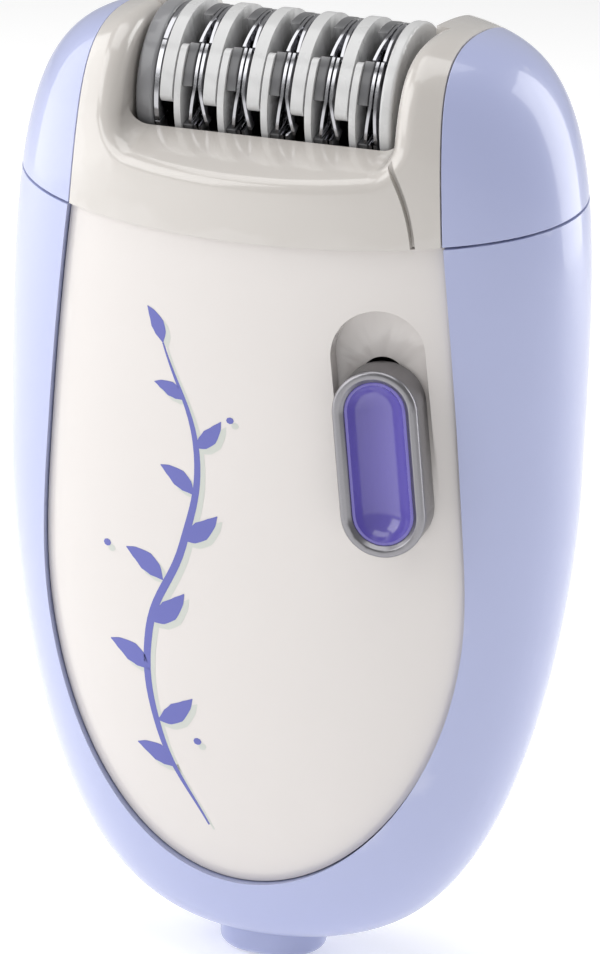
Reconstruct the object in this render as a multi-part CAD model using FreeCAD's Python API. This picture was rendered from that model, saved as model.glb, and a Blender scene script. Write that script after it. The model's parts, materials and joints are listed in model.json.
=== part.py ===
import FreeCAD, Part
import math
import os

# Epilator: a hand-held body with a lift-off epilating head, in millimetres.
# +Z runs up from the power inlet to the head, -Y is the front with the panel, +X is
# the side with the slide switch. The origin is at the bottom, in the middle.

Vec = FreeCAD.Vector

# ---- driving dimensions: the outer body ----
HALF_WIDTH = 31.1        # widest half width
FRONT_DEPTH = 18.0       # deepest front, from the middle plane
BACK_DEPTH = 18.0        # deepest back
HEIGHT = 101.3           # top of the head
Z_WIDEST = 53.6          # height of the widest section
Z_DEEPEST = 86.0         # height of the deepest section
COLLAR_HEIGHT = 2.7      # the socket collar stands this far below the body
WALL = 1.9               # wall of the outer shells
PARTING_Z = 81.4         # height of the joint between handle and head, at its level line
PARTING_LEVEL_Y = -12.9  # depth of that level line
PARTING_SLOPE = 0.195    # rise of the joint per millimetre towards the back
PARTING_GAP = 0.24       # visible joint between handle and head
SHELL_SPLIT_Y = 5.0      # plane between front and rear shell
SEAM = 0.12              # gap between neighbouring covers
CLEAR = 0.3              # gap between pieces that move past each other
RUN_FIT = 0.05           # radial running clearance

# ---- front panel ----
PANEL_HALF_WIDTH = HALF_WIDTH - 8.05
PANEL_WIDEST_Z = 44.0
PANEL_TIP_Z = 10.9
PANEL_TOP_DROP = 3.15    # how much narrower the panel is at the parting plane
PANEL_SUNK = 0.75        # the shell's lip stands this far above the panel
PANEL_THICK = 1.9
PANEL_REST = 1.8         # width of the ledge that the panel rests on

# ---- slide switch ----
SLIDER_X = PANEL_HALF_WIDTH - 7.63
SLIDER_Z = 59.95
SLIDER_TURN = 7.0        # the slide faces this many degrees to the right
SLIDER_LEAN = 7.1        # its track leans this much to the left going up
SLIDER_WIDTH = 8.6
SLIDER_LENGTH = 19.0
SLIDER_TRAVEL = 5.0
SLIDER_PROUD = 3.8       # height of the rim over the panel
BEZEL_WIDTH = 1.2
BEZEL_ROUND = 0.45
INLAY_DROP = 0.5         # the thumb pad starts this far below the rim
CUP_MARGIN = 0.3         # flat edge of the thumb pad around its hollow
CUP_DEPTH = 1.8
TRACK_WIDTH = SLIDER_WIDTH + 2 * CLEAR
TRACK_DEPTH = 1.2
TRACK_FLOOR = 1.1
STEM_WIDTH = 4.0
STEM_LENGTH = 9.0
STEM_FOOT = 2.4          # how far the stem reaches behind the track floor
SWITCH_HALF = 4.2
SWITCH_DEEP = 3.8

# ---- head ----
CHEEK_INSIDE = 14.5      # drum bay, half length
CHEEK_WALL = 1.6
CAP_EDGE_X = 19.8        # boundary between frame and side cap at the parting plane
CAP_EDGE_LEAN = 0.07     # how much it leans inward per millimetre of height
FLOOR_SLOPE = 0.45       # fall of the floor in front of the drum, per millimetre
BAY_EDGE_Y = -11.7       # front edge of the drum's opening
BAY_EDGE_Z = 89.5
FLOOR_CORNER_R = 2.2
LIP_R = 1.6              # rounding of the floor's front edge
REAR_EDGE_Z = 96.8       # edge of the opening behind the drum
REAR_SLOPE = 0.27        # fall of the surface behind the drum
GROOVE_TOP_X = 14.15
GROOVE_TOP_Z = 89.5
GROOVE_BASE_X = 17.2
GROOVE_BELLY = 0.75
GROOVE_DEPTH = 0.8
GROOVE = 0.45

# ---- drum ----
DRUM_Y = -2.5
DRUM_Z = 92.8
DRUM_R = 8.5
HUB_R = 4.6
SHAFT_R = 1.5
BAY_CLEAR = 0.6
UNITS = 5
UNIT_PITCH = 4.65
FIRST_UNIT_X = -11.35
UPPER_ARC_WIDTH = 1.3
LOWER_ARC_WIDTH = 0.7
LOWER_ARC_SHIFT = 1.5
COMB_WIDTH = 1.05
BLADE = 0.3
BLADE_SHIFT = 3.4
BLADE_GAP = 0.2
BLADE_R = DRUM_R - 0.35
COMB_R = DRUM_R - 0.3
TONGUES = 6
TONGUE_TOP = 40.0        # degrees above the front horizontal
TONGUE_BEND = 8.0
TONGUE_END = -19.0
ARC_START = -5.0
SPLAY_FRONT = (0.55, 0.85)
SPLAY_REAR = (0.3, 0.3)
LEFT_DISC_WIDTH = 1.85
INNER_DISC_WIDTH = 0.5
SPLAY_LAST = (0.5, 0.12) # the last pair stands close to the right end disc

# ---- gear train, all in one plane on the right ----
MODULE = 0.5
PRESSURE = 20.0
GEAR_X = 16.7
GEAR_FACE = 2.0
TEETH_PINION = 10
TEETH_LOWER = 24
TEETH_UPPER = 20
TEETH_DRUM = 20
BACKLASH = 0.06
UPPER_OFFSET_Y = 1.5     # upper idler behind the drum axis
LOWER_OFFSET_Y = 2.5     # lower idler behind the upper idler
PIN_R = 1.0

# ---- motor ----
MOTOR_R = 8.2
MOTOR_LENGTH = 25.0
MOTOR_RIGHT_X = 12.6
MOTOR_SHAFT_R = 0.75

# ---- inlet ----
COLLAR_LENGTH = 11.6
COLLAR_DEPTH = 9.6
INLET_LENGTH = 7.6
INLET_DEPTH = 5.0
INLET_TOP_Z = 9.0
INLET_PIN_R = 0.75
INLET_PIN_PITCH = 3.4

# ---- release button ----
RELEASE_Z = 73.0
RELEASE_WIDTH = 11.0
RELEASE_HEIGHT = 6.0
RELEASE_TRAVEL = 1.4


# ---------------------------------------------------------------- basic shapes
def box(x0, x1, y0, y1, z0, z1):
    return Part.makeBox(x1 - x0, y1 - y0, z1 - z0, Vec(x0, y0, z0))


def rod(radius, start, direction, length):
    return Part.makeCylinder(radius, length, Vec(*start), Vec(*direction))


def face_of(points):
    closed = [Vec(*p) for p in points]
    return Part.Face(Part.makePolygon(closed + [closed[0]]))


def prism_front(points, y0, y1):
    """Outline in X and Z, pushed from y0 to y1."""
    return face_of([(x, y0, z) for x, z in points]).extrude(Vec(0, y1 - y0, 0))


def joined(shapes):
    first = shapes[0]
    if len(shapes) == 1:
        return first
    return first.fuse(shapes[1:]).removeSplitter()


def power_curve(share, rise, fall):
    return max(0.0, 1.0 - share ** rise) ** (1.0 / fall)


# ---------------------------------------------------------------- outer body
BODY_BOTTOM = COLLAR_HEIGHT
LOFT_BOTTOM = COLLAR_HEIGHT + 0.75
LOFT_TOP = HEIGHT - 0.1


def width_share(z):
    if z < Z_WIDEST:
        return power_curve((Z_WIDEST - z) / (Z_WIDEST - BODY_BOTTOM), 1.67, 3.22)
    return power_curve((z - Z_WIDEST) / (HEIGHT - Z_WIDEST), 4.0, 5.5)


def depth_share(z):
    if z < Z_DEEPEST:
        return power_curve((Z_DEEPEST - z) / (Z_DEEPEST - BODY_BOTTOM), 1.6, 4.2)
    return power_curve((z - Z_DEEPEST) / (HEIGHT - Z_DEEPEST), 4.0, 5.2)


def section_wire(z, offset, at_z):
    """Oval section drawn at height at_z with the sizes of height z."""
    across = HALF_WIDTH * width_share(z) - offset
    front = FRONT_DEPTH * depth_share(z) - offset
    back = BACK_DEPTH * depth_share(z) - offset
    steps = 24
    params = [2 * math.pi * i / steps for i in range(steps + 1)]
    points = [Vec(across * math.cos(t), (back if math.sin(t) > 0 else front) * math.sin(t), at_z)
              for t in params[:-1]]
    curve = Part.BSplineCurve()
    curve.interpolate(Points=points, PeriodicFlag=True, Parameters=params)
    return Part.Wire([curve.toShape()])


def envelope(offset=0.0):
    """The outer body, or the same body with its skin moved inward."""
    count = 26
    wires = []
    for i in range(count + 1):
        share = 0.5 - 0.5 * math.cos(math.pi * i / count)
        z = LOFT_BOTTOM + (LOFT_TOP - LOFT_BOTTOM) * share
        low = LOFT_BOTTOM + offset
        high = LOFT_TOP - offset
        wires.append(section_wire(z, offset, low + (high - low) * share))
    return Part.makeLoft(wires, True, False)


def front_y(x, z, offset=0.0):
    """Y of the front skin at a place."""
    across = HALF_WIDTH * width_share(z) - offset
    depth = FRONT_DEPTH * depth_share(z) - offset
    return -depth * math.sqrt(max(0.0, 1.0 - (x / across) ** 2))


OUTER = envelope(0.0)
INNER = envelope(WALL)
PANEL_OUT = envelope(PANEL_SUNK)
PANEL_IN = envelope(PANEL_SUNK + PANEL_THICK)
REST_DEPTH = PANEL_SUNK + PANEL_THICK + SEAM + 1.2
REST_IN = envelope(REST_DEPTH)
HANDLE_TOP = PARTING_Z - PARTING_GAP / 2
HEAD_BOTTOM = PARTING_Z + PARTING_GAP / 2
FAR = 60.0


def side_prism(points, x0, x1):
    """Block with a side outline given as (y, z) points."""
    return face_of([(x0, y, z) for y, z in points]).extrude(Vec(x1 - x0, 0, 0))


def parting_z(y):
    return PARTING_Z + PARTING_SLOPE * (y - PARTING_LEVEL_Y)


def under_parting():
    """Everything below the sloping joint, less half its gap."""
    gap = PARTING_GAP / 2
    return side_prism([(-FAR, -10), (FAR, -10), (FAR, parting_z(FAR) - gap),
                       (-FAR, parting_z(-FAR) - gap)], -FAR, FAR)


def over_parting():
    """Everything above the sloping joint, less half its gap."""
    gap = PARTING_GAP / 2
    top = HEIGHT + 20
    return side_prism([(-FAR, top), (FAR, top), (FAR, parting_z(FAR) + gap),
                       (-FAR, parting_z(-FAR) + gap)], -FAR, FAR)


def panel_outline(grow=0.0):
    """Right half of the panel's egg outline, from its tip up to the parting plane."""
    half = []
    for i in range(13):
        t = math.radians(90.0 * i / 12)
        half.append(((PANEL_HALF_WIDTH + grow) * math.sin(t),
                     PANEL_WIDEST_Z - (PANEL_WIDEST_Z - PANEL_TIP_Z + grow) * math.cos(t)))
    for i in range(1, 5):
        share = i / 4.0
        x = PANEL_HALF_WIDTH - PANEL_TOP_DROP * share ** 1.4 + grow
        half.append((x, PANEL_WIDEST_Z + (PARTING_Z - PANEL_WIDEST_Z) * share))
    return half


def panel_prism(grow=0.0):
    half = panel_outline(grow)
    top = half[-1]
    points = [Vec(-x, -40, z) for x, z in reversed(half[1:])]
    points += [Vec(x, -40, z) for x, z in half]
    curve = Part.BSplineCurve()
    curve.interpolate(Points=points)
    lid = Part.makePolygon([Vec(top[0], -40, top[1]), Vec(top[0], -40, top[1] + 5),
                            Vec(-top[0], -40, top[1] + 5), Vec(-top[0], -40, top[1])])
    wire = Part.Wire([curve.toShape()] + lid.Edges)
    return Part.Face(wire).extrude(Vec(0, 40, 0))


# ---------------------------------------------------------------- slide switch frame
def to_switch(shape):
    """Turn and move a shape drawn with +Z up and its outside at y = 0 onto the panel."""
    placed = shape.copy()
    placed.rotate(Vec(0, 0, 0), Vec(0, 1, 0), -SLIDER_LEAN)
    placed.rotate(Vec(0, 0, 0), Vec(0, 0, 1), SLIDER_TURN)
    placed.translate(Vec(SLIDER_X, front_y(SLIDER_X, SLIDER_Z, PANEL_SUNK), SLIDER_Z))
    return placed


def oval(width, z_low, z_high, y0, y1):
    """A stadium-shaped block standing along Z."""
    r = width / 2.0
    block = box(-r, r, y0, y1, z_low + r, z_high - r)
    ends = [rod(r, (0, y0, z), (0, 1, 0), y1 - y0) for z in (z_low + r, z_high - r)]
    return joined([block] + ends)


SLIDER_LOW = -SLIDER_LENGTH / 2.0
SLIDER_HIGH = SLIDER_LENGTH / 2.0
TRACK_LOW = SLIDER_LOW - CLEAR
TRACK_HIGH = SLIDER_HIGH + SLIDER_TRAVEL + CLEAR
STEM_LOW = -STEM_LENGTH / 2.0
STEM_HIGH = STEM_LENGTH / 2.0


def track_cut():
    trough = oval(TRACK_WIDTH, TRACK_LOW, TRACK_HIGH, -5.0, TRACK_DEPTH)
    slot = oval(STEM_WIDTH + 2 * CLEAR, STEM_LOW - CLEAR,
                STEM_HIGH + SLIDER_TRAVEL + CLEAR, -5.0, 8.0)
    return to_switch(trough.fuse(slot))


def track_body():
    """Extra thickness behind the panel that holds the track."""
    block = to_switch(oval(TRACK_WIDTH + 2.4, TRACK_LOW - 1.2, TRACK_HIGH + 1.2,
                           0.2, TRACK_DEPTH + TRACK_FLOOR))
    return block.common(panel_prism(-PANEL_REST - SEAM))


# ---------------------------------------------------------------- handle covers
def shell_ring():
    wall = OUTER.cut(INNER).common(under_parting())
    rest = OUTER.cut(REST_IN).common(panel_prism(PANEL_REST)).common(under_parting())
    pocket = panel_prism(SEAM).cut(envelope(PANEL_SUNK + PANEL_THICK + SEAM))
    return wall.fuse(rest).cut(pocket).cut(panel_prism(-PANEL_REST))


def collar_shape(grow, z0, z1):
    r = (COLLAR_DEPTH + 2 * grow) / 2.0
    x = COLLAR_LENGTH / 2.0 + grow - r
    ends = [rod(r, (sx * x, 0, z0), (0, 0, 1), z1 - z0) for sx in (-1, 1)]
    return joined([box(-x, x, -r, r, z0, z1)] + ends)


def front_shell(ring):
    part = ring.common(box(-FAR, FAR, -FAR, SHELL_SPLIT_Y, -10, HEIGHT))
    return part.cut(collar_shape(SEAM, -5, 12))


def rear_shell(ring):
    part = ring.common(box(-FAR, FAR, SHELL_SPLIT_Y + SEAM, FAR, -10, HEIGHT))
    window = release_block(CLEAR, 0, FAR)
    screws = joined([rod(1.2, (x, 8, z), (0, 1, 0), 30) for x, z in SCREW_PLACES])
    heads = joined([rod(2.3, (x, y, z), (0, 1, 0), 30)
                    for (x, z), y in zip(SCREW_PLACES, screw_seats())])
    bosses = [rod(3.2, (x, 8.2, z), (0, 1, 0), 12) for x, z in SCREW_PLACES]
    bosses = joined(bosses).common(OUTER)
    return part.fuse(bosses).cut(window).cut(screws).cut(heads).cut(collar_shape(SEAM, -5, 12))


def front_panel():
    plate = PANEL_OUT.cut(PANEL_IN).common(panel_prism(0.0)).common(under_parting())
    return plate.fuse(track_body().common(PANEL_OUT)).cut(track_cut())


SCREW_PLACES = [(-19.0, 64.0), (19.0, 64.0), (0.0, 22.0)]


def back_y(x, z, offset=0.0):
    across = HALF_WIDTH * width_share(z) - offset
    depth = BACK_DEPTH * depth_share(z) - offset
    return depth * math.sqrt(max(0.0, 1.0 - (x / across) ** 2))


def screw_seats():
    return [back_y(x, z) - 1.7 for x, z in SCREW_PLACES]


def shell_screws():
    screws = []
    for (x, z), seat in zip(SCREW_PLACES, screw_seats()):
        shank = rod(1.1, (x, 6.6, z), (0, 1, 0), seat - 6.6)
        head = rod(2.0, (x, seat, z), (0, 1, 0), 1.0)
        cross = joined([box(x - 1.2, x + 1.2, seat + 0.5, seat + 2, z - 0.25, z + 0.25),
                        box(x - 0.25, x + 0.25, seat + 0.5, seat + 2, z - 1.2, z + 1.2)])
        screws.append(shank.fuse(head).cut(cross))
    return Part.makeCompound(screws)


def socket_collar():
    outer = collar_shape(0.0, 0.0, 6.0)
    r = 1.0
    flange = collar_shape(1.1, 6.0, 7.2).common(envelope(WALL + SEAM))
    hole = inlet_shape(0.0, -1, 10)
    body = outer.fuse(flange).cut(hole)
    low_edges = [e for e in body.Edges
                 if e.BoundBox.ZMax < 0.01 and e.BoundBox.YLength + e.BoundBox.XLength > 0.5
                 and abs(e.BoundBox.YMax) + abs(e.BoundBox.YMin) > INLET_DEPTH + 1]
    return body.makeFillet(r, low_edges)


def inlet_shape(grow, z0, z1):
    r = (INLET_DEPTH + 2 * grow) / 2.0
    x = INLET_LENGTH / 2.0 + grow - r
    ends = [rod(r, (sx * x, 0, z0), (0, 0, 1), z1 - z0) for sx in (-1, 1)]
    return joined([box(-x, x, -r, r, z0, z1)] + ends)


def inlet_block():
    cup = inlet_shape(1.3, 7.2, INLET_TOP_Z + 3.0).cut(inlet_shape(0.0, 0, INLET_TOP_Z))
    holes = [rod(INLET_PIN_R, (sx * INLET_PIN_PITCH / 2, 0, 0), (0, 0, 1), 30) for sx in (-1, 1)]
    return cup.cut(joined(holes))


def inlet_pins():
    return Part.makeCompound([rod(INLET_PIN_R, (sx * INLET_PIN_PITCH / 2, 0, INLET_TOP_Z - 2.6),
                                  (0, 0, 1), 7.4) for sx in (-1, 1)])


# ---------------------------------------------------------------- gears
def involute(base_r, radius):
    t = math.sqrt(max(0.0, (radius / base_r) ** 2 - 1.0))
    return t - math.atan(t)


def gear_wire(teeth, phase, module=MODULE):
    """Spur gear outline in Y and Z: a tooth centre points along phase, degrees from +Y to +Z."""
    pitch_r = module * teeth / 2.0
    base_r = pitch_r * math.cos(math.radians(PRESSURE))
    tip_r = pitch_r + module * 0.95
    root_r = pitch_r - module * 1.2
    half_pitch = (math.pi / 2 - BACKLASH / module) / teeth
    inv_pitch = involute(base_r, pitch_r)
    flank = []
    start = max(base_r, root_r)
    for i in range(4):
        r = start + (tip_r - start) * i / 3.0
        flank.append((r, half_pitch + inv_pitch - involute(base_r, r)))
    points = []
    for k in range(teeth):
        centre = math.radians(phase) + 2 * math.pi * k / teeth
        side = [(root_r, flank[0][1])] + flank
        polar = [(r, centre - a) for r, a in side] + [(r, centre + a) for r, a in reversed(side)]
        points += [(r * math.cos(a), r * math.sin(a)) for r, a in polar]
    return points


def gear(teeth, centre, phase, x0, width, bore):
    points = [(x0, centre[0] + y, centre[1] + z) for y, z in gear_wire(teeth, phase)]
    body = face_of(points).extrude(Vec(width, 0, 0))
    return body.cut(rod(bore, (x0 - 1, centre[0], centre[1]), (1, 0, 0), width + 2))


def step_to(centre, distance, offset_y):
    """Centre of the next gear down, offset_y behind the one above it."""
    drop = math.sqrt(distance ** 2 - offset_y ** 2)
    return (centre[0] + offset_y, centre[1] - drop)


def meshed_phase(upper, lower, upper_teeth, lower_teeth, upper_phase):
    """Phase that puts a gap of the lower gear on the line of centres where a tooth stands."""
    line = math.degrees(math.atan2(lower[1] - upper[1], lower[0] - upper[0]))
    tooth_share = ((line - upper_phase) * upper_teeth / 360.0) % 1.0
    back = line + 180.0
    return back + (tooth_share + 0.5) * 360.0 / lower_teeth


DRUM_AXIS = (DRUM_Y, DRUM_Z)
UPPER_AXIS = step_to(DRUM_AXIS, MODULE * (TEETH_DRUM + TEETH_UPPER) / 2.0, UPPER_OFFSET_Y)
LOWER_AXIS = step_to(UPPER_AXIS, MODULE * (TEETH_UPPER + TEETH_LOWER) / 2.0, LOWER_OFFSET_Y)
MOTOR_AXIS = step_to(LOWER_AXIS, MODULE * (TEETH_LOWER + TEETH_PINION) / 2.0, 0.0)
PHASE_DRUM = 0.0
PHASE_UPPER = meshed_phase(DRUM_AXIS, UPPER_AXIS, TEETH_DRUM, TEETH_UPPER, PHASE_DRUM)
PHASE_LOWER = meshed_phase(UPPER_AXIS, LOWER_AXIS, TEETH_UPPER, TEETH_LOWER, PHASE_UPPER)
PHASE_PINION = meshed_phase(LOWER_AXIS, MOTOR_AXIS, TEETH_LOWER, TEETH_PINION, PHASE_LOWER)
GEAR_END = GEAR_X + GEAR_FACE


def pin_on(axis, x0, x1, radius):
    return rod(radius, (x0, axis[0], axis[1]), (1, 0, 0), x1 - x0)


# ---------------------------------------------------------------- inside of the handle
PLATE_X = GEAR_X - CLEAR - 1.4
PLATE_THICK = 1.4
OUTER_PLATE_X = GEAR_END + CLEAR
DECK_TOP = HANDLE_TOP - 0.1
DECK_THICK = 1.5


def inside(gap):
    return envelope(WALL + gap)


def chassis():
    """Plate that carries the motor and the gear pins, with a foot to the deck."""
    low = MOTOR_AXIS[1] - MOTOR_R - 1.6
    high = DECK_TOP - DECK_THICK
    y0, y1 = MOTOR_AXIS[0] - 6.5, MOTOR_AXIS[0] + 6.5
    plate = box(PLATE_X, PLATE_X + PLATE_THICK, y0, y1, low, high)
    shelf = box(-11.0, PLATE_X, y0, y1, low, low + 1.4)
    back_wall = box(-11.0, -9.6, y0, y1, low, low + 6.0)
    body = joined([plate, shelf, back_wall])
    body = body.cut(pin_on(MOTOR_AXIS, -30, MOTOR_RIGHT_X, MOTOR_R + 0.02))
    for axis, radius in ((LOWER_AXIS, PIN_R), (MOTOR_AXIS, 2.2)):
        body = body.cut(pin_on(axis, PLATE_X - 1, PLATE_X + 3, radius))
    top_room = pin_on(UPPER_AXIS, PLATE_X - 1, PLATE_X + 3, PIN_R)
    return body.cut(top_room)


def gear_bracket():
    """Outer bearing plate beside the gears, joined to the deck side by two spacers."""
    x0 = OUTER_PLATE_X
    plate = box(x0, x0 + 1.2, UPPER_AXIS[0] - 4.0, LOWER_AXIS[0] + 3.0,
                LOWER_AXIS[1] - 3.2, UPPER_AXIS[1] + 2.0)
    for axis in (LOWER_AXIS, UPPER_AXIS):
        plate = plate.cut(pin_on(axis, x0 - 1, x0 + 3, PIN_R))
    return plate


def bearing_lug():
    """Lug above the deck that carries the inner end of the upper idler pin."""
    x0 = PLATE_X
    lug = box(x0, x0 + PLATE_THICK, UPPER_AXIS[0] - 2.6, UPPER_AXIS[0] + 2.6,
              DECK_TOP, UPPER_AXIS[1] + 2.0)
    return lug


def top_deck():
    slab = inside(SEAM).common(box(-FAR, FAR, -FAR, FAR, DECK_TOP - DECK_THICK, DECK_TOP))
    slab = slab.cut(panel_prism(PANEL_REST + SEAM).cut(envelope(REST_DEPTH + SEAM)))
    tip = MODULE * TEETH_UPPER / 2.0 + MODULE + 0.6
    slot = box(GEAR_X - CLEAR, OUTER_PLATE_X + 1.2 + SEAM, UPPER_AXIS[0] - tip, UPPER_AXIS[0] + tip, 70, 90)
    posts = joined([hook_post(sx, CLEAR) for sx in (-1, 1)])
    body = slab.cut(slot).cut(posts).fuse(bearing_lug())
    return body.cut(pin_on(UPPER_AXIS, PLATE_X - 1, PLATE_X + 3, PIN_R)).removeSplitter()


def motor_can():
    x0 = MOTOR_RIGHT_X - MOTOR_LENGTH
    can = pin_on(MOTOR_AXIS, x0, MOTOR_RIGHT_X, MOTOR_R)
    boss = pin_on(MOTOR_AXIS, MOTOR_RIGHT_X, PLATE_X + PLATE_THICK, 2.15)
    hollow = pin_on(MOTOR_AXIS, x0 - 1, MOTOR_RIGHT_X - 0.8, MOTOR_R - 0.7)
    bore = pin_on(MOTOR_AXIS, x0, 30, MOTOR_SHAFT_R + RUN_FIT)
    return can.fuse(boss).cut(hollow).cut(bore)


def motor_end_cap():
    x0 = MOTOR_RIGHT_X - MOTOR_LENGTH
    plug = pin_on(MOTOR_AXIS, x0 - 0.8, x0 + 1.6, MOTOR_R - 0.7)
    boss = pin_on(MOTOR_AXIS, x0 - 2.2, x0 - 0.8, 2.2)
    bore = pin_on(MOTOR_AXIS, x0 - 3, x0 + 3, MOTOR_SHAFT_R + RUN_FIT)
    return plug.fuse(boss).cut(bore)


def motor_terminals():
    x0 = MOTOR_RIGHT_X - MOTOR_LENGTH - 0.8
    tabs = [box(x0 - 2.4, x0, MOTOR_AXIS[0] + sy * 4.6 - 0.9, MOTOR_AXIS[0] + sy * 4.6 + 0.9,
                MOTOR_AXIS[1] - 0.2, MOTOR_AXIS[1] + 0.2) for sy in (-1, 1)]
    return Part.makeCompound(tabs)


def motor_magnets():
    x0 = MOTOR_RIGHT_X - MOTOR_LENGTH + 3.0
    x1 = MOTOR_RIGHT_X - 3.0
    ring = pin_on(MOTOR_AXIS, x0, x1, MOTOR_R - 0.72)
    ring = ring.cut(pin_on(MOTOR_AXIS, x0 - 1, x1 + 1, MOTOR_R - 2.3))
    gap = box(-30, 30, MOTOR_AXIS[0] - 1.6, MOTOR_AXIS[0] + 1.6, 0, 99)
    return ring.cut(gap)


def rotor_shaft():
    x0 = MOTOR_RIGHT_X - MOTOR_LENGTH - 1.6
    return pin_on(MOTOR_AXIS, x0, GEAR_END + 0.4, MOTOR_SHAFT_R)


def rotor_core():
    x0 = MOTOR_RIGHT_X - MOTOR_LENGTH + 4.0
    x1 = MOTOR_RIGHT_X - 4.0
    core = pin_on(MOTOR_AXIS, x0, x1, MOTOR_R - 2.8)
    slots = []
    for k in range(3):
        a = math.radians(90 + 120 * k)
        y = MOTOR_AXIS[0] + 4.4 * math.cos(a)
        z = MOTOR_AXIS[1] + 4.4 * math.sin(a)
        slots.append(rod(1.1, (x0 - 1, y, z), (1, 0, 0), x1 - x0 + 2))
    return core.cut(joined(slots)).cut(pin_on(MOTOR_AXIS, x0 - 1, x1 + 1, MOTOR_SHAFT_R))


def motor_pinion():
    return gear(TEETH_PINION, MOTOR_AXIS, PHASE_PINION, GEAR_X, GEAR_FACE, MOTOR_SHAFT_R)


BOARD_Y = -3.0
BOARD_LOW = 18.0
BOARD_HIGH = 47.0


def circuit_board():
    board = box(-13, 13, BOARD_Y, BOARD_Y + 1.2, BOARD_LOW, BOARD_HIGH)
    holes = joined([rod(1.1, (sx * 10.5, BOARD_Y - 1, z), (0, 1, 0), 4)
                    for sx in (-1, 1) for z in (BOARD_LOW + 3, BOARD_HIGH - 3)])
    return board.cut(holes)


def board_bosses():
    """Posts on the rear shell's inside that carry the board."""
    posts = []
    for sx in (-1, 1):
        for z in (BOARD_LOW + 3, BOARD_HIGH - 3):
            post = rod(2.2, (sx * 10.5, BOARD_Y + 1.2, z), (0, 1, 0), 30)
            pilot = rod(0.9, (sx * 10.5, BOARD_Y - 1, z), (0, 1, 0), 8)
            posts.append(post.cut(pilot).common(envelope(WALL * 0.5)))
    return posts


def board_screws():
    screws = []
    for sx in (-1, 1):
        for z in (BOARD_LOW + 3, BOARD_HIGH - 3):
            shank = rod(0.85, (sx * 10.5, BOARD_Y, z), (0, 1, 0), 6)
            head = rod(1.7, (sx * 10.5, BOARD_Y - 0.9, z), (0, 1, 0), 0.9)
            screws.append(shank.fuse(head))
    return Part.makeCompound(screws)


def board_capacitor():
    can = rod(3.0, (-5.5, BOARD_Y - 3.4, 26), (0, 0, 1), 11)
    feet = [rod(0.3, (-5.5 + sx * 1.2, BOARD_Y - 3.4, 24), (0, 0, 1), 2) for sx in (-1, 1)]
    return joined([can] + feet)


def board_diodes():
    rows = []
    for k in range(4):
        z = 24 + 3.4 * k
        body = rod(0.9, (3.0, BOARD_Y - 1.1, z), (1, 0, 0), 4.2)
        lead = rod(0.3, (1.6, BOARD_Y - 1.1, z), (1, 0, 0), 7.0)
        rows.append(body.fuse(lead))
    return Part.makeCompound(rows)


def switch_unit():
    """Slide switch on the back of the track, with a groove for the stem's foot."""
    y0 = TRACK_DEPTH + TRACK_FLOOR
    low, high = STEM_LOW, STEM_HIGH + SLIDER_TRAVEL
    half = STEM_WIDTH / 2 + CLEAR
    block = box(-SWITCH_HALF, SWITCH_HALF, y0, y0 + SWITCH_DEEP, low - 3.5, high + 3.5)
    groove = box(-half, half, y0 - 1, y0 + STEM_FOOT + CLEAR, low - 2 * CLEAR, high + 2 * CLEAR)
    return to_switch(block.cut(groove)).cut(track_body()).common(PANEL_IN)


def slider_bezel():
    """Tall ring of the thumb slide, with a rounded rim and a sloping inner edge."""
    low, high = SLIDER_LOW, SLIDER_HIGH
    ring = oval(SLIDER_WIDTH, low, high, -SLIDER_PROUD, TRACK_DEPTH - CLEAR)
    rim = [e for e in ring.Edges if abs(e.BoundBox.YMax + SLIDER_PROUD) < 0.01]
    ring = ring.makeFillet(BEZEL_ROUND, rim)
    b = BEZEL_WIDTH
    ring = ring.cut(oval(SLIDER_WIDTH - 2 * b, low + b, high - b, -5, 2))
    hole = [e for e in ring.Edges if abs(e.BoundBox.YMax + SLIDER_PROUD) < 0.01
            and e.BoundBox.ZMin > low + b - 0.01 and e.BoundBox.ZMax < high - b + 0.01
            and max(abs(e.BoundBox.XMin), abs(e.BoundBox.XMax)) < SLIDER_WIDTH / 2 - b + 0.01]
    return to_switch(ring.makeChamfer(BEZEL_ROUND, hole))


def slider_inlay():
    """Thumb pad inside the bezel, hollowed like a cup."""
    b = BEZEL_WIDTH
    width = SLIDER_WIDTH - 2 * b
    top = -SLIDER_PROUD + INLAY_DROP
    pad = oval(width, SLIDER_LOW + b, SLIDER_HIGH - b, top, TRACK_DEPTH - CLEAR)
    half = width / 2 - CUP_MARGIN
    cup_r = (half ** 2 + CUP_DEPTH ** 2) / (2 * CUP_DEPTH)
    y = top + CUP_DEPTH - cup_r
    end = SLIDER_HIGH - b - CUP_MARGIN - half
    cup = rod(cup_r, (0, y, -end), (0, 0, 1), 2 * end)
    balls = [Part.makeSphere(cup_r, Vec(0, y, z)) for z in (-end, end)]
    return to_switch(pad.cut(joined([cup] + balls)))


def slider_stem():
    neck = oval(STEM_WIDTH, STEM_LOW, STEM_HIGH, TRACK_DEPTH - CLEAR,
                TRACK_DEPTH + TRACK_FLOOR + STEM_FOOT)
    return to_switch(neck)


def detent_spring():
    """Bent leaf on the switch that clicks against the stem."""
    y0 = TRACK_DEPTH + TRACK_FLOOR + SWITCH_DEEP
    leaf = box(-2.5, 2.5, y0, y0 + 0.25, STEM_LOW - 2, STEM_HIGH + SLIDER_TRAVEL + 2)
    lip = box(-2.5, 2.5, y0, y0 + 1.6, STEM_HIGH + SLIDER_TRAVEL + 1.75, STEM_HIGH + SLIDER_TRAVEL + 2)
    return to_switch(leaf.fuse(lip))


def release_block(grow, y0, y1):
    w = RELEASE_WIDTH / 2.0 + grow
    h = RELEASE_HEIGHT / 2.0 + grow
    block = box(-w, w, y0, y1, RELEASE_Z - h, RELEASE_Z + h)
    upright = [e for e in block.Edges if e.BoundBox.YLength > 1]
    return block.makeFillet(2.0 + grow, upright)


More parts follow.
